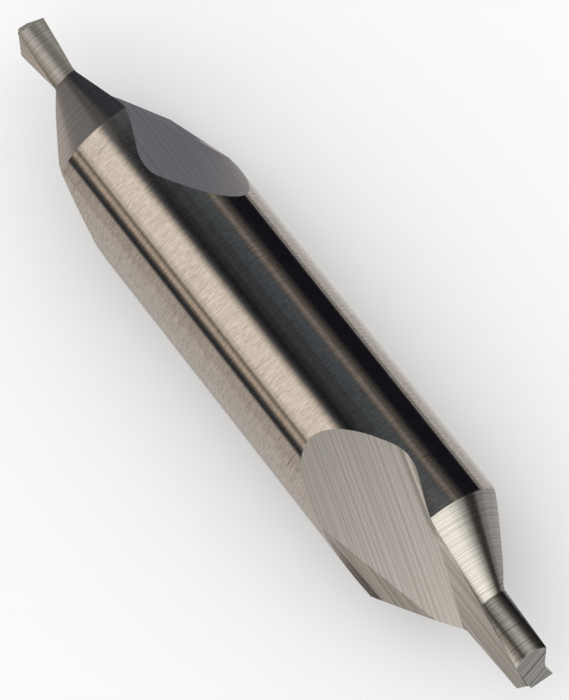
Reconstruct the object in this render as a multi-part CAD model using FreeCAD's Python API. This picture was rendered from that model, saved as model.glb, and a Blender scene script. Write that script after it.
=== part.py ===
"""Double-ended centre drill for right-hand cutting, as one solid.

A plain round body carries the same nose at each end: a 60 degree cone that
countersinks, and a short pilot drill in front of it. Two flutes on each nose
run out into the body, so either end can cut when the other is worn.

Frame: X runs along the drill, the origin is on the axis at the middle of the
body, and Z points to the side where a flute and its land are both seen.
Angles round the axis are counted from +Z towards +Y. The nose is made for the
+X end, with x counted from the shoulder, where the cone meets the body.
"""
import FreeCAD, Part
import math
import os

# Main sizes, in millimetres and degrees
BODY_DIA = 10.0
PILOT_DIA = 3.88
OVERALL = 54.3
PILOT_LEN = 5.4
CONE_ANGLE = 60.0
POINT_ANGLE = 118.0

# Relief: each land falls away behind its cutting edge, as an off-centre grind
CONE_RELIEF = 0.10
PILOT_RELIEF = 0.03
RELIEF_AT = -81.0
LAND_SPLIT_AT = 28.0

# Flute floor in the body: a flat that sinks towards the tip
FLOOR_DEPTH_FROM_AXIS = 1.60
FLOOR_SINK = 21.4
FLOOR_FACES = -22.3

# Flute floor beside the pilot: a flat that leaves the web
WEB_HALF = 0.55
WEB_TAPER = 4.0
WEB_FACES = -48.0

# Cutting face: an upright wall that slants round the tool, more so in the body
WALL_OFFSET = 1.24
WALL_LEAN = 5.7
WALL_SLANT_NEAR_NOSE = 10.6
WALL_SLANT_FAR_NOSE = 8.2
WALL_SLANT_BODY = 21.8
WALL_BEND_R = 12.0
ROOT_R = 0.90

# Heel: the trailing corner of each land is broken by two narrow flats
HEEL_FROM_AXIS = 3.49
HEEL_SINK = 16.2
HEEL_FACES = -54.3
INNER_HEEL_FROM_AXIS = 2.13
INNER_HEEL_SINK = 21.9
INNER_HEEL_FACES = -32.3

# The heel flats stop at an upright plane on the heel's side of the axis
HEEL_SIDE = 1.0
HEEL_SIDE_FACES = -90.0

# Point: two flat facets, one ground a little longer than the other
FACET_FACES = 16.0
FACET_UNEVEN = 0.20

# Angle of the cross axis about which one end is turned into the other
END_TURN_AT = 15.5

# Spare length of the turned shapes, and reach of the cutting shapes
SPARE = 6.0
BLOCK = 30.0

# Cosine under which two directions count as square to each other
SQUARE_LIMIT = 1e-6

BODY_R = BODY_DIA / 2
PILOT_R = PILOT_DIA / 2
CONE_SLOPE = math.tan(math.radians(CONE_ANGLE / 2))
POINT_SLOPE = 1 / math.tan(math.radians(POINT_ANGLE / 2))
CONE_LEN = (BODY_R - PILOT_R) / CONE_SLOPE
SHOULDER_X = OVERALL / 2 - PILOT_LEN - CONE_LEN
WEB_AT = CONE_LEN

ORIGIN = FreeCAD.Vector(0, 0, 0)
AXIS = FreeCAD.Vector(1, 0, 0)


def outward(angle):
    """Unit vector square to the axis at an angle round it."""
    turn = math.radians(angle)
    return FreeCAD.Vector(0, math.sin(turn), math.cos(turn))


def from_shoulder(x, y, z):
    """Point of the +X nose, with x counted from its shoulder."""
    return FreeCAD.Vector(SHOULDER_X + x, y, z)


def block_above(point, faces, sink):
    """Large block standing on a flat.

    The flat passes through the point, faces the angle round the axis and sinks
    towards the tip by the sink angle.
    """
    up = outward(faces)
    side = up.cross(AXIS) * BLOCK
    tilt = math.radians(sink)
    normal = up * math.cos(tilt) + AXIS * math.sin(tilt)
    along = (AXIS * math.cos(tilt) - up * math.sin(tilt)) * BLOCK
    corners = [point - along - side, point + along - side, point + along + side, point - along + side]
    base = Part.Face(Part.makePolygon(corners + corners[:1]))
    return base.extrude(normal * BLOCK)


def turned_cone():
    """Full cone of the nose, run out behind the shoulder."""
    back_r = BODY_R + SPARE * CONE_SLOPE
    length = back_r / CONE_SLOPE
    return Part.makeCone(back_r, 0, length, from_shoulder(-SPARE, 0, 0), AXIS)


def turned_pilot():
    """Full pilot, longer than the finished one."""
    length = CONE_LEN + PILOT_LEN + SPARE
    return Part.makeCylinder(PILOT_R, length, from_shoulder(0, 0, 0), AXIS)


def relieved_land():
    """Half of the nose, moved off centre so its land falls away to the heel."""
    cone = turned_cone()
    cone.translate(outward(RELIEF_AT) * CONE_RELIEF)
    pilot = turned_pilot()
    pilot.translate(outward(RELIEF_AT) * PILOT_RELIEF)
    keep = block_above(from_shoulder(0, 0, 0), LAND_SPLIT_AT, 0)
    return cone.fuse(pilot).common(keep)


def turned_half(shape):
    """The same shape half a turn further round the axis."""
    copy = shape.copy()
    copy.rotate(ORIGIN, AXIS, 180)
    return copy


def other_end(shape):
    """The same shape at the other end of the drill."""
    copy = shape.copy()
    copy.rotate(ORIGIN, outward(END_TURN_AT), 180)
    return copy


def blank():
    """The drill before its flutes: round body and two relieved noses."""
    core_end = SHOULDER_X - SPARE / 2
    core = Part.makeCylinder(BODY_R + SPARE, 2 * core_end, FreeCAD.Vector(-core_end, 0, 0), AXIS)
    land = relieved_land()
    nose = land.fuse(turned_half(land))
    outer = core.fuse([nose, other_end(nose)])
    bar_end = OVERALL / 2 + SPARE
    bar = Part.makeCylinder(BODY_R, 2 * bar_end, FreeCAD.Vector(-bar_end, 0, 0), AXIS)
    return bar.common(outer)


def wall_path(nose_slant):
    """Outline of the flute seen from +Z, with the cutting face as its long side."""
    turn = math.radians(WALL_SLANT_BODY - nose_slant)
    tangent = WALL_BEND_R * math.tan(turn / 2)
    nose_dir = FreeCAD.Vector(1, -math.tan(math.radians(nose_slant)), 0).normalize()
    body_dir = FreeCAD.Vector(-1, math.tan(math.radians(WALL_SLANT_BODY)), 0).normalize()
    corner = from_shoulder(0, WALL_OFFSET, 0)
    bend_start = corner + nose_dir * tangent
    bend_end = corner + body_dir * tangent
    inward = FreeCAD.Vector(-nose_dir.y, nose_dir.x, 0)
    centre = bend_start + inward * WALL_BEND_R
    middle = centre + (corner - centre).normalize() * WALL_BEND_R
    tip = corner + nose_dir * BLOCK
    tail = corner + body_dir * BLOCK
    low_tip = FreeCAD.Vector(tip.x, -BLOCK, 0)
    low_tail = FreeCAD.Vector(tail.x, -BLOCK, 0)
    edges = [Part.makeLine(tip, bend_start),
             Part.Arc(bend_start, middle, bend_end).toShape(),
             Part.makeLine(bend_end, tail),
             Part.makeLine(tail, low_tail),
             Part.makeLine(low_tail, low_tip),
             Part.makeLine(low_tip, tip)]
    return Part.Wire(edges)


def is_wall(face):
    """True for a face of the flute that stands along the leaning direction."""
    lean = math.radians(WALL_LEAN)
    upright = FreeCAD.Vector(0, -math.sin(lean), math.cos(lean))
    u_low, u_high, v_low, v_high = face.ParameterRange
    normal = face.normalAt((u_low + u_high) / 2, (v_low + v_high) / 2)
    return abs(normal.dot(upright)) < SQUARE_LIMIT


def root_edges(shape):
    """Edges inside the body where a cutting face meets a floor."""
    axis_line = Part.makeLine(AXIS * -BLOCK, AXIS * BLOCK)
    found = []
    for edge in shape.Edges:
        kinds = [is_wall(face) for face in shape.ancestorsOfType(edge, Part.Face)]
        if sum(kinds) == 1 and edge.distToShape(axis_line)[0] < BODY_R:
            found.append(edge)
    return found


def upright_prism(nose_slant):
    """Space in front of the cutting face, leaning with it."""
    prism = Part.Face(wall_path(nose_slant)).extrude(FreeCAD.Vector(0, 0, 2 * BLOCK))
    prism.translate(FreeCAD.Vector(0, 0, -BLOCK))
    prism.rotate(ORIGIN, AXIS, WALL_LEAN)
    return prism


def above_flat(from_axis, faces, sink, x):
    """Space above a flat that stands from_axis off the axis at x from the shoulder."""
    return block_above(from_shoulder(x, 0, 0) + outward(faces) * from_axis, faces, sink)


def above_web():
    """Space above the flat that leaves the web beside the pilot."""
    return above_flat(WEB_HALF, WEB_FACES, WEB_TAPER, WEB_AT)


def groove(prism, above_floor):
    """Space above one floor, with a rounded root along the cutting face."""
    sharp = prism.common(above_floor)
    return sharp.makeFillet(ROOT_R, root_edges(sharp))


def flute(prism):
    """Shape of the metal that one flute takes away."""
    above_floor = above_flat(FLOOR_DEPTH_FROM_AXIS, FLOOR_FACES, FLOOR_SINK, 0)
    return groove(prism, above_floor).common(groove(prism, above_web()))


def heel_flats(prism):
    """Shapes that break the trailing corner of a land, clear of web and root."""
    beside = above_flat(HEEL_SIDE, HEEL_SIDE_FACES, 0, 0)
    space = prism.common(above_web()).common(beside)
    outer = above_flat(HEEL_FROM_AXIS, HEEL_FACES, HEEL_SINK, 0)
    inner = above_flat(INNER_HEEL_FROM_AXIS, INNER_HEEL_FACES, INNER_HEEL_SINK, 0)
    return [space.common(outer), space.common(inner)]


def point_facet(extra):
    """Block that grinds one facet of the point, a little further out by extra."""
    point = from_shoulder(CONE_LEN + PILOT_LEN + extra, 0, 0)
    sink = math.degrees(math.atan(1 / POINT_SLOPE))
    return block_above(point, FACET_FACES, sink)


def grinds(nose_slant):
    """Everything that is ground away from one end, as it stands at +X."""
    prism = upright_prism(nose_slant)
    cuts = []
    for cut in [flute(prism)] + heel_flats(prism):
        cuts.append(cut)
        cuts.append(turned_half(cut))
    cuts.append(point_facet(-FACET_UNEVEN / 2))
    cuts.append(turned_half(point_facet(FACET_UNEVEN / 2)))
    return cuts


def centre_drill():
    """The finished drill."""
    near = grinds(WALL_SLANT_NEAR_NOSE)
    far = [other_end(cut) for cut in grinds(WALL_SLANT_FAR_NOSE)]
    drill = blank()
    for cut in near + far:
        drill = drill.cut(cut)
    return drill.removeSplitter()


def main():
    """Build the drill, print its size and write it."""
    os.makedirs("parts", exist_ok=True)
    drill = centre_drill()
    box = drill.optimalBoundingBox(False)
    print("solids", len(drill.Solids), "valid", drill.isValid())
    print("size", round(box.XLength, 3), round(box.YLength, 3), round(box.ZLength, 3))
    print("volume", round(drill.Volume, 2), "mm3", "shoulder at", round(SHOULDER_X, 3))
    drill.Solids[0].exportStep("parts/centre_drill.step")


main()
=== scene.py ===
"""Looks of a double-ended centre drill: ground steel, a pale floor and studio panels.

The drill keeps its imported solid. Every face of it is sorted into a zone, such
as the round body, a cone or a flute floor, and each zone gets the finish that
its grinding wheel leaves. Lengths are in metres unless a name ends in _mm or
_MM. Angles are in degrees, and those round the axis are counted from +Z
towards +Y.
"""
import logging
import math
from dataclasses import dataclass, field, replace
from enum import Enum
from typing import Any

import bpy
from mathutils import Matrix, Vector


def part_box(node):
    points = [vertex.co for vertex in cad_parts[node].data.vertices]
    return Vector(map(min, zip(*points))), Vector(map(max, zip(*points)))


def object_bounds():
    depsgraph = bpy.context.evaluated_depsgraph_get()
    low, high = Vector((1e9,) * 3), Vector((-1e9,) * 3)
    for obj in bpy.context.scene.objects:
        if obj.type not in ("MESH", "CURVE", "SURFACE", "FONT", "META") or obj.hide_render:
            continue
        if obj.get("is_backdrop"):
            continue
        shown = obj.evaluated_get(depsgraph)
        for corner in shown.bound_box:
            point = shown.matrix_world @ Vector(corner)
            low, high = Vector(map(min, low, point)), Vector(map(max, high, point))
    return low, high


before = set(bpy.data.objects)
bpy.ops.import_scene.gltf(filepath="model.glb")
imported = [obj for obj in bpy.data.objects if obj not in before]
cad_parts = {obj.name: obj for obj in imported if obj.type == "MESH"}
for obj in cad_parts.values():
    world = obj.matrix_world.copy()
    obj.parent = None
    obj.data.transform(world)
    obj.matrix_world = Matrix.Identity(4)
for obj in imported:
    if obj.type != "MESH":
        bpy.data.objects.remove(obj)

LOG = logging.getLogger("centre_drill")
MM = 0.001
AXIS = Vector((1.0, 0.0, 0.0))
OFF_AXIS = (0.0, 1.0, 1.0)
CONE_HALF_ANGLE = 30.0

# Kinds of node that the finishes use most, and the sockets of the mixing node
VECTOR = "ShaderNodeVectorMath"
MIX = "ShaderNodeMix"
MIX_SHARE = 0
MIX_FIRST_NUMBER = 2
MIX_SECOND_NUMBER = 3
MIX_FIRST_COLOUR = 6
MIX_SECOND_COLOUR = 7
MIX_COLOUR_OUT = 2


def linear(hex_colour: str) -> tuple[float, float, float, float]:
    """Turn an sRGB hex colour into linear light, with the constants of the sRGB curve.

    Args:
        hex_colour: Six hex digits after a hash sign.

    Returns:
        Red, green, blue and an alpha of one.
    """
    parts = [int(hex_colour[i:i + 2], 16) / 255 for i in (1, 3, 5)]
    red, green, blue = (part / 12.92 if part <= 0.04045 else ((part + 0.055) / 1.055) ** 2.4
                        for part in parts)
    return (red, green, blue, 1.0)


def outward(angle: float) -> Vector:
    """Return the unit vector square to the axis at an angle round it."""
    turn = math.radians(angle)
    return Vector((0.0, math.sin(turn), math.cos(turn)))


def add_node(tree: bpy.types.NodeTree, kind: str, settings: dict[str | int, Any] | None = None,
             links: dict[str | int, bpy.types.NodeSocket] | None = None) -> bpy.types.Node:
    """Add a node with its settings and the links that reach it.

    Args:
        tree: Node tree that takes the node.
        kind: Blender's name of the node type.
        settings: Property names, or socket names and numbers, with their values.
        links: Input socket names or numbers with the outputs that feed them.

    Returns:
        The new node.
    """
    node = tree.nodes.new(kind)
    for name, value in (settings or {}).items():
        if isinstance(name, str) and hasattr(node, name):
            setattr(node, name, value)
        else:
            node.inputs[name].default_value = value
    for name, socket in (links or {}).items():
        tree.links.new(socket, node.inputs[name])
    return node


class Zone(Enum):
    """Surface of the drill that one grinding pass makes."""

    BODY = "body"
    CONE = "cone"
    PILOT = "pilot"
    FLOOR = "flute_floor"
    ROOT = "flute_root"
    WALL = "cutting_wall"
    WEB = "web_floor"
    OUTER_HEEL = "outer_heel"
    INNER_HEEL = "inner_heel"
    POINT = "point_facet"


# Fine scratches come from the wheel's even grit, at the pitch of each finish. Broad ones,
# about four times as wide, come from its few large grains. Detail and Roughness say how
# ragged their edges are.
FINE_SCRATCHES = {"Scale": 1.0, "Detail": 3.0, "Roughness": 0.6}
BROAD_SCRATCHES = {"Scale": 0.23, "Detail": 2.0, "Roughness": 0.5}
BROAD_SHARE = 0.22

# The tone runs from a painted shade at the bottom of a scratch to the full colour on its ridge
GROOVE_SHADE_BELOW = 0.35
FULL_COLOUR_ABOVE = 0.6


@dataclass(frozen=True)
class GroundSteel:
    """High speed steel as a grinding wheel leaves it.

    Hardened tool steel is a warm grey metal. The wheel leaves parallel scratches,
    which smear a reflection across themselves and leave it sharp along them. Real
    ones are about 0.01 mm apart, which is too fine to show, so every finish here
    draws them 3 to 8 times as coarse. The bottom of each scratch is painted a
    darker colour than its ridge: painted shade, which also reads as grain.

    On a turned surface the scratches are rings, and its cone slope is the tangent
    of its half angle. On a flat they run at the line angle to the drill's axis, as
    that lies along the flat.
    """

    name: str
    groove_shade: str
    roughness: float
    line_pitch_mm: float
    line_length_mm: float
    line_depth_mm: float
    line_angle: float = 0.0
    cone_slope: float | None = None
    anisotropy: float = 0.6
    colour: str = "#d9d7d3"
    nicked: bool = False

    def material(self) -> bpy.types.Material:
        """Build the finish.

        Returns:
            A material with its colour, scratches and gloss.
        """
        made = bpy.data.materials.new(self.name)
        made.use_nodes = True
        tree = made.node_tree
        tree.nodes.clear()
        place = add_node(tree, "ShaderNodeTexCoord").outputs["Object"]
        base = self._normal(tree, place)
        across, lines_at = self._grain(tree, place, base)
        fine = add_node(tree, "ShaderNodeTexNoise", FINE_SCRATCHES, {"Vector": lines_at})
        broad = add_node(tree, "ShaderNodeTexNoise", BROAD_SCRATCHES, {"Vector": lines_at})
        height = add_node(tree, MIX, {"data_type": "FLOAT", MIX_SHARE: BROAD_SHARE},
                          {MIX_FIRST_NUMBER: fine.outputs[0], MIX_SECOND_NUMBER: broad.outputs[0]})
        bump = add_node(tree, "ShaderNodeBump",
                        {"Strength": 1.0, "Distance": self.line_depth_mm * MM},
                        {"Height": height.outputs[0], "Normal": base})
        # Painted shade: the colour darkens towards the bottom of each scratch, which also gives the steel a
        # grain
        free_of_groove_shade = add_node(tree, "ShaderNodeMapRange", {"From Min": GROOVE_SHADE_BELOW, "From Max": FULL_COLOUR_ABOVE},
                       {"Value": height.outputs[0]})
        groove_shaded_tone = add_node(tree, MIX,
                        {"data_type": "RGBA", MIX_FIRST_COLOUR: linear(self.groove_shade),
                         MIX_SECOND_COLOUR: linear(self.colour)},
                        {MIX_SHARE: free_of_groove_shade.outputs[0]})
        paint = groove_shaded_tone.outputs[MIX_COLOUR_OUT]
        if self.nicked:
            paint = JAW_NICKS.darken(tree, place, paint)
        shader = add_node(tree, "ShaderNodeBsdfPrincipled",
                          {"Metallic": 1.0, "Roughness": self.roughness, "Anisotropic": self.anisotropy},
                          {"Base Color": paint, "Normal": bump.outputs[0], "Tangent": across})
        add_node(tree, "ShaderNodeOutputMaterial", {}, {"Surface": shader.outputs[0]})
        return made

    def _normal(self, tree: bpy.types.NodeTree, place: bpy.types.NodeSocket) -> bpy.types.NodeSocket:
        """Find the direction in which the surface faces.

        Args:
            tree: Node tree of the material.
            place: Object coordinates.

        Returns:
            The exact normal on a turned surface, and the mesh's own on any other.
        """
        if self.cone_slope is None:
            return add_node(tree, "ShaderNodeNewGeometry").outputs["Normal"]
        radial = add_node(tree, VECTOR, {"operation": "MULTIPLY", 1: OFF_AXIS}, {0: place})
        unit = add_node(tree, VECTOR, {"operation": "NORMALIZE"}, {0: radial.outputs[0]})
        side = add_node(tree, VECTOR, {"operation": "SIGN"}, {0: place})
        lean = add_node(tree, VECTOR, {"operation": "MULTIPLY", 1: (self.cone_slope, 0.0, 0.0)},
                        {0: side.outputs[0]})
        total = add_node(tree, VECTOR, {"operation": "ADD"}, {0: unit.outputs[0], 1: lean.outputs[0]})
        return add_node(tree, VECTOR, {"operation": "NORMALIZE"}, {0: total.outputs[0]}).outputs[0]

    def _grain(self, tree: bpy.types.NodeTree, place: bpy.types.NodeSocket,
               base: bpy.types.NodeSocket) -> tuple[bpy.types.NodeSocket, bpy.types.NodeSocket]:
        """Work out how the scratches run.

        Args:
            tree: Node tree of the material.
            place: Object coordinates.
            base: Normal of the surface.

        Returns:
            The direction across the scratches, and the coordinates of their noise.
        """
        pitch = 1 / (self.line_pitch_mm * MM)
        length = 1 / (self.line_length_mm * MM)
        sideways = add_node(tree, VECTOR, {"operation": "CROSS_PRODUCT", 1: tuple(AXIS)}, {0: base})
        level = add_node(tree, VECTOR, {"operation": "NORMALIZE"}, {0: sideways.outputs[0]})
        up_slope = add_node(tree, VECTOR, {"operation": "CROSS_PRODUCT"}, {0: level.outputs[0], 1: base})
        if self.cone_slope is not None:
            scaled = add_node(tree, VECTOR, {"operation": "MULTIPLY", 1: (pitch, length, length)}, {0: place})
            return up_slope.outputs[0], scaled.outputs[0]
        turn = math.radians(self.line_angle)
        part_level = add_node(tree, VECTOR, {"operation": "SCALE", "Scale": math.cos(turn)},
                              {0: level.outputs[0]})
        part_slope = add_node(tree, VECTOR, {"operation": "SCALE", "Scale": math.sin(turn)},
                              {0: up_slope.outputs[0]})
        across = add_node(tree, VECTOR, {"operation": "ADD"},
                          {0: part_level.outputs[0], 1: part_slope.outputs[0]})
        along = add_node(tree, VECTOR, {"operation": "CROSS_PRODUCT"}, {0: across.outputs[0], 1: base})
        over = add_node(tree, VECTOR, {"operation": "DOT_PRODUCT"}, {0: place, 1: across.outputs[0]})
        down = add_node(tree, VECTOR, {"operation": "DOT_PRODUCT"}, {0: place, 1: along.outputs[0]})
        over_scaled = add_node(tree, "ShaderNodeMath", {"operation": "MULTIPLY", 1: pitch},
                               {0: over.outputs["Value"]})
        down_scaled = add_node(tree, "ShaderNodeMath", {"operation": "MULTIPLY", 1: length},
                               {0: down.outputs["Value"]})
        joined = add_node(tree, "ShaderNodeCombineXYZ", {},
                          {0: over_scaled.outputs[0], 1: down_scaled.outputs[0]})
        return across.outputs[0], joined.outputs[0]


@dataclass(frozen=True)
class Nicks:
    """Short nicks round the body, as chuck jaws leave them.

    Each is a dull grey hair line, so the polish between them looks used but clean.
    They show only where the noise is above its limits, so they are few and thinner
    than the width and length of its cells.
    """

    width_mm: float = 0.13333
    length_mm: float = 2.381
    colour: str = "#9c9995"
    ragged: float = 1.0
    none_below: float = 0.70
    full_above: float = 0.80

    def darken(self, tree: bpy.types.NodeTree, place: bpy.types.NodeSocket,
               paint: bpy.types.NodeSocket) -> bpy.types.NodeSocket:
        """Lay the nicks over a colour.

        Args:
            tree: Node tree of the material.
            place: Object coordinates.
            paint: Colour of the steel without them.

        Returns:
            The colour with the nicks in it.
        """
        width = 1 / (self.width_mm * MM)
        length = 1 / (self.length_mm * MM)
        around = add_node(tree, VECTOR, {"operation": "MULTIPLY", 1: (width, length, length)}, {0: place})
        noise = add_node(tree, "ShaderNodeTexNoise", {"Scale": 1.0, "Detail": self.ragged},
                         {"Vector": around.outputs[0]})
        share = add_node(tree, "ShaderNodeMapRange",
                         {"From Min": self.none_below, "From Max": self.full_above},
                         {"Value": noise.outputs[0]})
        mixed = add_node(tree, MIX, {"data_type": "RGBA", MIX_SECOND_COLOUR: linear(self.colour)},
                         {MIX_SHARE: share.outputs[0], MIX_FIRST_COLOUR: paint})
        return mixed.outputs[MIX_COLOUR_OUT]


JAW_NICKS = Nicks()

# Centreless grinding leaves very shallow rings, so the body mirrors its surroundings as
# clear long bands with only a soft grain in them
BODY_STEEL = GroundSteel("steel_centreless_ground_body", groove_shade="#aeaca8", roughness=0.1, anisotropy=0.5,
                         line_pitch_mm=0.045, line_length_mm=0.5, line_depth_mm=0.00006, cone_slope=0.0,
                         nicked=True)

# The cone's wheel leaves long unbroken rings, which show as bright hair lines in its highlight
CONE_STEEL = GroundSteel("steel_cone_ground", groove_shade="#7d7a76", roughness=0.2, anisotropy=0.5,
                         line_pitch_mm=0.04, line_length_mm=300.0, line_depth_mm=0.0006,
                         cone_slope=math.tan(math.radians(CONE_HALF_ANGLE)))

# The thin pilot springs under the wheel, so its rings stand further apart; their grooves are darker by a
# painted shade
PILOT_STEEL = GroundSteel("steel_pilot_ground", groove_shade="#504d4a", roughness=0.18, anisotropy=0.5,
                          line_pitch_mm=0.045, line_length_mm=300.0, line_depth_mm=0.0006, cone_slope=0.0)

# The flute wheel drags long straight scratches over the floor, which give it a silky sheen,
# and its rounded corner carries them on through the root
FLOOR_STEEL = GroundSteel("steel_flute_face_ground", groove_shade="#a9a5a0", roughness=0.25, anisotropy=0.5,
                          line_pitch_mm=0.03, line_length_mm=30.0, line_depth_mm=0.001, line_angle=28.0)
ROOT_STEEL = replace(FLOOR_STEEL, name="steel_flute_root_ground")

# The wheel's side rubs the cutting wall along the tool and leaves it a little duller
WALL_STEEL = GroundSteel("steel_cutting_wall_ground", groove_shade="#a9a5a0", roughness=0.28,
                         line_pitch_mm=0.04, line_length_mm=30.0, line_depth_mm=0.001)

# Web thinning is a quick pass: scratches nearly along the tool, darkened by a painted shade in their grooves,
# and a broad grey sheen
WEB_STEEL = GroundSteel("steel_web_ground", groove_shade="#94918d", roughness=0.28,
                        line_pitch_mm=0.05, line_length_mm=30.0, line_depth_mm=0.001, line_angle=5.0)

# The heels are broken with a coarse wheel: pale narrow flats with wide open lines
OUTER_HEEL_STEEL = GroundSteel("steel_outer_heel_ground", groove_shade="#a8a4a0", roughness=0.22,
                               line_pitch_mm=0.08, line_length_mm=30.0, line_depth_mm=0.001, line_angle=21.0)
INNER_HEEL_STEEL = replace(OUTER_HEEL_STEEL, name="steel_inner_heel_ground", roughness=0.24, line_angle=16.0)

# Point grinding cuts deepest, so the small facets look matt and crossed by dark lines, whose darkness is
# painted shade in the grooves
POINT_STEEL = GroundSteel("steel_point_ground", groove_shade="#52504d", roughness=0.26,
                          line_pitch_mm=0.04, line_length_mm=30.0, line_depth_mm=0.002, line_angle=68.0)

FINISHES: dict[Zone, GroundSteel] = {
    Zone.BODY: BODY_STEEL,
    Zone.CONE: CONE_STEEL,
    Zone.PILOT: PILOT_STEEL,
    Zone.FLOOR: FLOOR_STEEL,
    Zone.ROOT: ROOT_STEEL,
    Zone.WALL: WALL_STEEL,
    Zone.WEB: WEB_STEEL,
    Zone.OUTER_HEEL: OUTER_HEEL_STEEL,
    Zone.INNER_HEEL: INNER_HEEL_STEEL,
    Zone.POINT: POINT_STEEL,
}


@dataclass
class CentreDrill:
    """The drill's solid, with a finish for each zone of its surface.

    A flat is given by the angle that it faces round the axis and the angle by
    which it sinks towards the tip, both for the nose at +X. The other nose is
    the same one after half a turn about a cross axis.
    """

    node: str = "centre_drill"
    slot: str = "ground_steel"
    pilot_radius: float = 1.94 * MM
    relief: float = 0.12 * MM
    end_turn_at: float = 15.5
    wall_lean: float = 5.7
    turned_tolerance: float = 6.0
    flat_tolerance: float = 1.0
    flats: dict[Zone, tuple[float, float]] = field(default_factory=lambda: {
        Zone.FLOOR: (-22.3, 21.4),
        Zone.WEB: (-48.0, 4.0),
        Zone.OUTER_HEEL: (-54.3, 16.2),
        Zone.INNER_HEEL: (-32.3, 21.9),
        Zone.POINT: (16.0, 59.0),
    })

    def end_turn(self) -> Matrix:
        """Return the half turn that takes the nose at +X to the other end."""
        return Matrix.Rotation(math.pi, 3, outward(self.end_turn_at))

    def flat_normals(self) -> list[tuple[Vector, Zone]]:
        """List the normals of all ground flats.

        Returns:
            A normal and its zone for each flat of both ends and both sides.
        """
        half_turn = Matrix.Rotation(math.pi, 3, AXIS)
        end_turn = self.end_turn()
        found = []
        for zone, (faces, sink) in self.flats.items():
            tilt = math.radians(sink)
            normal = outward(faces) * math.cos(tilt) + AXIS * math.sin(tilt)
            for near in (normal, half_turn @ normal):
                found.append((near, zone))
                found.append((end_turn @ near, zone))
        return found

    def zone_of(self, centre: Vector, normal: Vector, body_radius: float,
                flats: list[tuple[Vector, Zone]]) -> Zone:
        """Name the zone of one face of the solid.

        Args:
            centre: Middle of the face.
            normal: Its unit normal.
            body_radius: Radius of the round body.
            flats: Normals and zones of the ground flats.

        Returns:
            The face's zone.
        """
        radius = math.hypot(centre.y, centre.z)
        radial = Vector((0.0, centre.y, centre.z)).normalized()
        slope = math.radians(CONE_HALF_ANGLE)
        side = math.copysign(1.0, centre.x)
        cone = radial * math.cos(slope) + AXIS * (side * math.sin(slope))
        matching = math.cos(math.radians(self.turned_tolerance))
        if normal.dot(radial) > matching and radius > body_radius - self.relief:
            return Zone.BODY
        if normal.dot(cone) > matching:
            return Zone.CONE
        if normal.dot(radial) > matching and abs(radius - self.pilot_radius) < self.relief:
            return Zone.PILOT
        nearest, zone = max(((normal.dot(flat), zone) for flat, zone in flats), key=lambda pair: pair[0])
        if nearest > math.cos(math.radians(self.flat_tolerance)):
            return zone
        upright = outward(-self.wall_lean)
        if centre.x < 0.0:
            upright = self.end_turn() @ upright
        stands = abs(normal.dot(upright)) < math.sin(math.radians(self.flat_tolerance))
        return Zone.WALL if stands else Zone.ROOT

    def dress(self) -> None:
        """Give each face of the solid the finish of its zone."""
        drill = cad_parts[self.node]
        mesh = drill.data
        low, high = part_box(self.node)
        body_radius = (high.z - low.z) / 2
        zones = list(FINISHES)
        mesh.materials.clear()
        for zone in zones:
            mesh.materials.append(FINISHES[zone].material())
        flats = self.flat_normals()
        counts = dict.fromkeys(zones, 0)
        for face in mesh.polygons:
            zone = self.zone_of(face.center, face.normal, body_radius, flats)
            face.material_index = zones.index(zone)
            counts[zone] += 1
        for zone, count in counts.items():
            LOG.info("%s: %d faces", zone.value, count)


@dataclass(frozen=True)
class Panel:
    """One studio panel, curved round the drill's axis, that the steel reflects.

    Its two edges are angles round the axis. A far colour makes it fade along +X,
    and a level above one makes it brighter than white paper.
    """

    name: str
    start: float
    end: float
    colour: str
    far_colour: str | None = None
    level: float = 1.0

    def glow(self, far: bool) -> Vector:
        """Return its linear colour times its level, at its -X or its far end."""
        colour = self.far_colour if far and self.far_colour else self.colour
        return Vector(linear(colour)[:3]) * self.level


@dataclass(frozen=True)
class PanelRow:
    """Panels side by side over one stretch of the axis, sewn into one cloth.

    Each panel runs into the next over twice the fade, as light from a soft box does.
    """

    name: str
    start_mm: float
    end_mm: float
    fade: float
    panels: tuple[Panel, ...]
    radius_mm: float = 150.0

    def glow_at(self, angle: float, far: bool) -> Vector:
        """Mix the panels within the fade of an angle.

        Args:
            angle: Angle round the axis.
            far: True for the +X end of the row.

        Returns:
            Linear colour of the cloth there.
        """
        total = Vector((0.0, 0.0, 0.0))
        width = 0.0
        for panel in self.panels:
            share = min(angle + self.fade, panel.end) - max(angle - self.fade, panel.start)
            if share > 0.0:
                total += panel.glow(far) * share
                width += share
        return total / width


# Level cards lie just above the floor, which the drill touches 5 mm below its axis
CARD_LEVEL_MM = -4.9
CARD_TOP_MM = 200.0


@dataclass(frozen=True)
class Card:
    """Flat card that only reflections show: level, or upright across the axis.

    A level card covers a stretch along the axis and one across it. An upright one
    stands at one place along the axis and reaches up from the level of the rest.
    """

    name: str
    along_mm: tuple[float, float]
    across_mm: tuple[float, float]
    colour: str

    def corners(self) -> list[tuple[float, float, float]]:
        """List its four corners.

        Returns:
            The corners in order round its edge.
        """
        start, end = (value * MM for value in self.along_mm)
        left, right = (value * MM for value in self.across_mm)
        level = CARD_LEVEL_MM * MM
        top = CARD_TOP_MM * MM
        if start == end:
            return [(start, left, level), (start, right, level), (start, right, top), (start, left, top)]
        return [(start, left, level), (end, left, level), (end, right, level), (start, right, level)]


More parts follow.
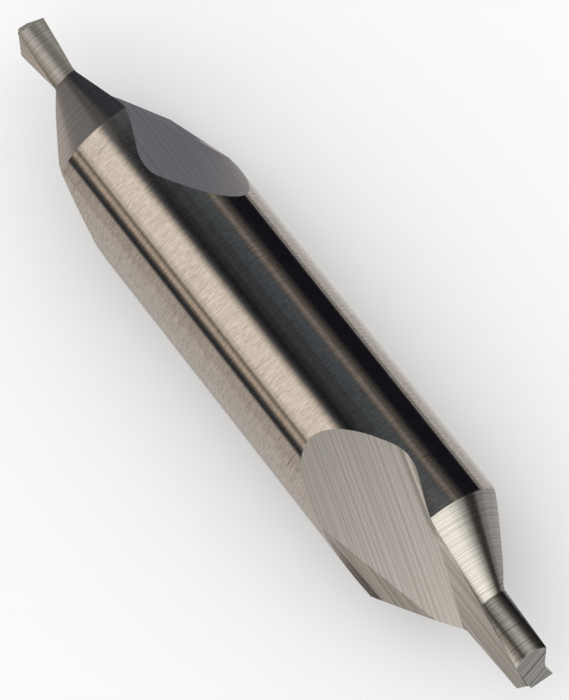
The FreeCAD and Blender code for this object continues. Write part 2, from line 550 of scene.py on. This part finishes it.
# Each row hangs where the surface that it is named for mirrors it to the photograph's
# camera. The body turns a reflection by twice the angle, so a band that is 10 degrees
# wide on the steel comes from a panel 20 degrees wide.
BODY_ROW = PanelRow("body_row", -81.0, -21.5, 2.0, (
    Panel("left_low_panel", -92, -74.5, "#c0b4aa"),
    Panel("left_black_flag", -74.5, -65.5, "#303135"),
    Panel("left_black_fade", -65.5, -61.5, "#6b635a"),
    Panel("left_tan_strip", -61.5, -54.5, "#cdb9a8"),
    Panel("left_dim_strip", -54.5, -49, "#7f766d"),
    Panel("cream_edge", -49, -42, "#e6d7c9"),
    Panel("cream_panel", -42, -11, "#fff0e2", level=1.03),
    Panel("cream_fade", -11, -7, "#e9dbcc"),
    Panel("charcoal_edge", -7, -3, "#b4aaa0"),
    Panel("charcoal_fade", -3, 1, "#5d5958"),
    Panel("charcoal_tail", 1, 5, "#333337"),
    Panel("charcoal_flag", 5, 12, "#1f1f23"),
    Panel("charcoal_strip", 12, 20, "#313135"),
    Panel("dark_slate_flag", 20, 36, "#414147"),
    Panel("slate_flag", 36, 46, "#4c5155"),
    Panel("pale_slate_flag", 46, 55, "#53575c"),
    Panel("slate_edge", 55, 58, "#5c5a58"),
    Panel("olive_edge", 58, 60, "#746d66"),
    Panel("olive_strip", 60, 67, "#8a8076"),
    Panel("brown_strip", 67, 74, "#5e5853"),
    Panel("dark_brown_strip", 74, 80, "#3b3837"),
    Panel("right_black_flag", 80, 92, "#1a1a21"),
))
NEAR_PILOT_ROW = PanelRow("near_pilot_row", -21.5, 14.0, 5.0, (
    Panel("near_pilot_left", -92, -24, "#fff9ef", level=1.15),
    Panel("near_pilot_left_edge", -24, -8, "#989189"),
    Panel("near_pilot_dark", -8, 10, "#5f5b56"),
    Panel("near_pilot_light_edge", 10, 26, "#d0cac2"),
    Panel("near_pilot_light", 26, 44, "#fbf6ec"),
    Panel("near_pilot_fade", 44, 56, "#c8c2b9"),
    Panel("near_pilot_brown", 56, 72, "#413e3b"),
    Panel("near_pilot_black", 72, 92, "#2b2b2b"),
))
FAR_PILOT_ROW = PanelRow("far_pilot_row", -150.0, -81.0, 6.0, (
    Panel("far_pilot_left", -92, -56, "#85807a"),
    Panel("far_pilot_left_edge", -56, -40, "#7d7872"),
    Panel("far_pilot_pale", -40, -24, "#b4aea8"),
    Panel("far_pilot_light", -24, -8, "#f2ede6"),
    Panel("far_pilot_fade", -8, 8, "#faf5ee"),
    Panel("far_pilot_middle", 8, 40, "#b6b2ab"),
    Panel("far_pilot_right_edge", 40, 56, "#e0dbd4"),
    Panel("far_pilot_right", 56, 92, "#c4bfb9"),
))
NEAR_CONE_ROW = PanelRow("near_cone_row", 14.0, 300.0, 4.0, (
    Panel("nose_middle", -20, 15, "#c4bdb4"),
    Panel("nose_bright", 15, 54, "#fffcf2", level=1.62),
    Panel("nose_bright_edge", 54, 68, "#fffcf2", level=1.2),
    Panel("nose_fade", 68, 80, "#c6c1ba"),
    Panel("nose_black", 80, 92, "#3a3835"),
))
NEAR_LEFT_ROW = PanelRow("near_left_row", 14.0, 40.0, 1.0, (
    Panel("near_left_low", -92, -58, "#aaa39a"),
    Panel("near_left_dark", -58, -20, "#524f4c"),
))
FLUTE_ROW = PanelRow("flute_row", 40.0, 120.0, 1.0, (
    Panel("heel_panel", -92, -58, "#aaa39a"),
    Panel("flute_panel", -58, -20, "#413e3c", far_colour="#fffaf3", level=1.38),
))
NOSE_LEFT_ROW = PanelRow("nose_left_row", 120.0, 300.0, 1.0, (
    Panel("nose_left", -92, -20, "#fffcf5", level=1.3),
))
FAR_ROW = PanelRow("far_row", -1200.0, -150.0, 12.0, (
    Panel("far_left", -92, -20, "#908b88"),
    Panel("far_middle", -20, 22, "#676463"),
    Panel("far_right", 22, 92, "#404048"),
))
ROWS: tuple[PanelRow, ...] = (BODY_ROW, NEAR_PILOT_ROW, FAR_PILOT_ROW, NEAR_CONE_ROW, NEAR_LEFT_ROW,
                              FLUTE_ROW, NOSE_LEFT_ROW, FAR_ROW)

# The cards colour what the steep sides of the drill and its point would else see of the
# white floor. The three end cards stand upright behind the far end.
CARDS: tuple[Card, ...] = (
    Card("right_black_card", (-16.5, 14), (20, 150), "#191920"),
    Card("right_black_far_card", (-60, -16.5), (24, 150), "#191920"),
    Card("right_grey_card", (-16.5, 14), (15, 20), "#968f8c"),
    Card("right_pale_card", (-16.5, 14), (9, 15), "#cac3be"),
    Card("right_edge_card", (-16.5, 14), (5.5, 9), "#d4cfcb"),
    Card("left_edge_card", (-60, 28), (-9, -5.5), "#beb8b3"),
    Card("left_near_card", (-60, 14), (-60, -9), "#cec4bd"),
    Card("left_far_card", (-60, -3), (-150, -60), "#c9bcb2"),
    Card("web_card", (-3, 14), (-150, -60), "#959291"),
    Card("nose_black_card", (14, 300), (36, 150), "#2b2a28"),
    Card("nose_grey_card", (14, 60), (18, 36), "#9b9698"),
    Card("nose_pale_card", (14, 60), (10, 18), "#b9b6b4"),
    Card("nose_edge_card", (14, 28), (2, 10), "#c2bebc"),
    Card("front_card", (28, 150), (-9, 10), "#adacaa"),
    Card("heel_dark_card", (14, 50), (-60, -9), "#67605a"),
    Card("far_flute_card", (-60, -16.5), (1.5, 24), "#7f7e87"),
    Card("far_point_card", (-60, -20), (-5.5, 1.5), "#a39e99"),
    Card("far_left_card", (-620, -60), (-160, -16), "#918d8b"),
    Card("far_middle_card", (-620, -60), (-16, 16), "#5c5956"),
    Card("far_right_card", (-620, -60), (16, 200), "#3c3c44"),
    Card("end_left_card", (-620, -620), (-400, -40), "#908b88"),
    Card("end_middle_card", (-620, -620), (-40, 60), "#676463"),
    Card("end_right_card", (-620, -620), (60, 400), "#33333a"),
)


@dataclass
class Studio:
    """Pale floor, white surroundings and the panels that the polish shows."""

    floor_size: float = 3.0
    floor_colour: str = "#fdfdfd"
    floor_roughness: float = 0.9
    floor_specular: float = 0.1
    light_colour: str = "#ffffff"
    light_strength: float = 1.0
    steps_per_degree: int = 1
    glow_name: str = "glow"
    rows: tuple[PanelRow, ...] = ROWS
    cards: tuple[Card, ...] = CARDS

    def build_floor(self, level: float) -> None:
        """Lay the pale floor at the drill's lowest point.

        Args:
            level: Height of the floor.
        """
        half = self.floor_size / 2
        mesh = bpy.data.meshes.new("floor")
        corners = [(-half, -half, level), (half, -half, level), (half, half, level), (-half, half, level)]
        mesh.from_pydata(corners, [], [(0, 1, 2, 3)])
        floor = bpy.data.objects.new("floor", mesh)
        bpy.context.scene.collection.objects.link(floor)
        # Rolled matt paint: it takes soft shadows and shows no gloss
        paint = bpy.data.materials.new("floor_matt_paint")
        paint.use_nodes = True
        shader = paint.node_tree.nodes["Principled BSDF"]
        shader.inputs["Base Color"].default_value = linear(self.floor_colour)
        shader.inputs["Roughness"].default_value = self.floor_roughness
        shader.inputs["Specular IOR Level"].default_value = self.floor_specular
        mesh.materials.append(paint)
        floor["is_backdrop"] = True
        LOG.info("floor at %.4f m", level)

    def build_world(self) -> None:
        """Surround the scene with even white light."""
        world = bpy.data.worlds.new("even_white")
        world.use_nodes = True
        light = world.node_tree.nodes["Background"]
        light.inputs["Color"].default_value = linear(self.light_colour)
        light.inputs["Strength"].default_value = self.light_strength
        bpy.context.scene.world = world

    def cloth(self) -> bpy.types.Material:
        """Make the glowing cloth: an even sheet of light with no texture of its own.

        Returns:
            The material of all panels and cards, which takes its light from each corner's colour.
        """
        made = bpy.data.materials.new("studio_cloth")
        made.use_nodes = True
        tree = made.node_tree
        tree.nodes.clear()
        paint = add_node(tree, "ShaderNodeAttribute", {"attribute_name": self.glow_name})
        glow = add_node(tree, "ShaderNodeEmission", {"Strength": 1.0}, {"Color": paint.outputs["Color"]})
        add_node(tree, "ShaderNodeOutputMaterial", {}, {"Surface": glow.outputs[0]})
        return made

    def hang(self, name: str, points: list[tuple[float, float, float]], faces: list[tuple[int, ...]],
             glows: list[Vector], cloth: bpy.types.Material) -> None:
        """Hang a cloth that only reflections show.

        Args:
            name: Its name.
            points: Corners of the cloth.
            faces: Corner numbers of its faces.
            glows: Linear colour of each corner.
            cloth: Its material.
        """
        mesh = bpy.data.meshes.new(name)
        mesh.from_pydata(points, [], faces)
        colours = mesh.color_attributes.new(self.glow_name, "FLOAT_COLOR", "POINT")
        for corner, glow in zip(colours.data, glows):
            corner.color = (*glow, 1.0)
        mesh.materials.append(cloth)
        made = bpy.data.objects.new(name, mesh)
        bpy.context.scene.collection.objects.link(made)
        made.visible_camera = False
        made.visible_diffuse = False
        made.visible_shadow = False
        made.visible_transmission = False
        made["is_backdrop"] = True

    def build_row(self, row: PanelRow, cloth: bpy.types.Material) -> None:
        """Hang one row of curved panels.

        Args:
            row: Its panels and its stretch of the axis.
            cloth: Its material.
        """
        start = row.panels[0].start
        steps = round((row.panels[-1].end - start) * self.steps_per_degree)
        points = []
        glows = []
        for step in range(steps + 1):
            angle = start + step / self.steps_per_degree
            rim = outward(angle) * (row.radius_mm * MM)
            points.append((row.start_mm * MM, rim.y, rim.z))
            points.append((row.end_mm * MM, rim.y, rim.z))
            glows.append(row.glow_at(angle, False))
            glows.append(row.glow_at(angle, True))
        faces = [(2 * step, 2 * step + 1, 2 * step + 3, 2 * step + 2) for step in range(steps)]
        self.hang(row.name, points, faces, glows, cloth)

    def build_card(self, card: Card, cloth: bpy.types.Material) -> None:
        """Put up one flat card.

        Args:
            card: Its corners and its colour.
            cloth: Its material.
        """
        points = card.corners()
        glow = Vector(linear(card.colour)[:3])
        self.hang(card.name, points, [(0, 1, 2, 3)], [glow] * len(points), cloth)

    def build(self, level: float) -> None:
        """Set up the floor, the light, the panels and the cards.

        Args:
            level: Height of the floor.
        """
        self.build_floor(level)
        self.build_world()
        cloth = self.cloth()
        for row in self.rows:
            self.build_row(row, cloth)
            LOG.info("%s of %d panels", row.name, len(row.panels))
        for card in self.cards:
            self.build_card(card, cloth)
        LOG.info("%d cards", len(self.cards))


@dataclass(frozen=True)
class PhotoCamera:
    """Camera at the photograph's place and angle.

    Its lens is held in pixels of the photograph, whose long side fills the sensor.
    """

    place: tuple[float, float, float] = (0.100989, 0.0, 0.287950)
    right: tuple[float, float, float] = (0.58583143, 0.78451037, -0.20333475)
    up: tuple[float, float, float] = (-0.74077142, 0.62011532, 0.25829189)
    forward: tuple[float, float, float] = (-0.328723662, 0.000690934, -0.944425898)
    focal_pixels: float = 4974.515
    long_side_pixels: float = 700.0
    sensor_mm: float = 36.0
    nearest_shown: float = 0.01
    farthest_shown: float = 20.0

    def build(self) -> None:
        """Place the camera and make it the scene's own."""
        data = bpy.data.cameras.new("photo_camera")
        data.sensor_width = self.sensor_mm
        data.lens = self.focal_pixels / self.long_side_pixels * self.sensor_mm
        data.clip_start = self.nearest_shown
        data.clip_end = self.farthest_shown
        camera = bpy.data.objects.new("photo_camera", data)
        bpy.context.scene.collection.objects.link(camera)
        turn = Matrix((self.right, self.up, -Vector(self.forward))).transposed()
        camera.matrix_world = Matrix.Translation(self.place) @ turn.to_4x4()
        bpy.context.scene.camera = camera
        LOG.info("camera with a lens of %.1f mm", data.lens)


def main() -> None:
    """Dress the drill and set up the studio."""
    logging.basicConfig(level=logging.INFO, format="%(name)s %(message)s")
    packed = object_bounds()
    bpy.context.scene.view_settings.view_transform = "Standard"
    drill = CentreDrill()
    drill.dress()
    LOG.info("dressed %s", drill.node)
    Studio().build(packed[0].z)
    PhotoCamera().build()


if __name__ == "__main__":
    main()
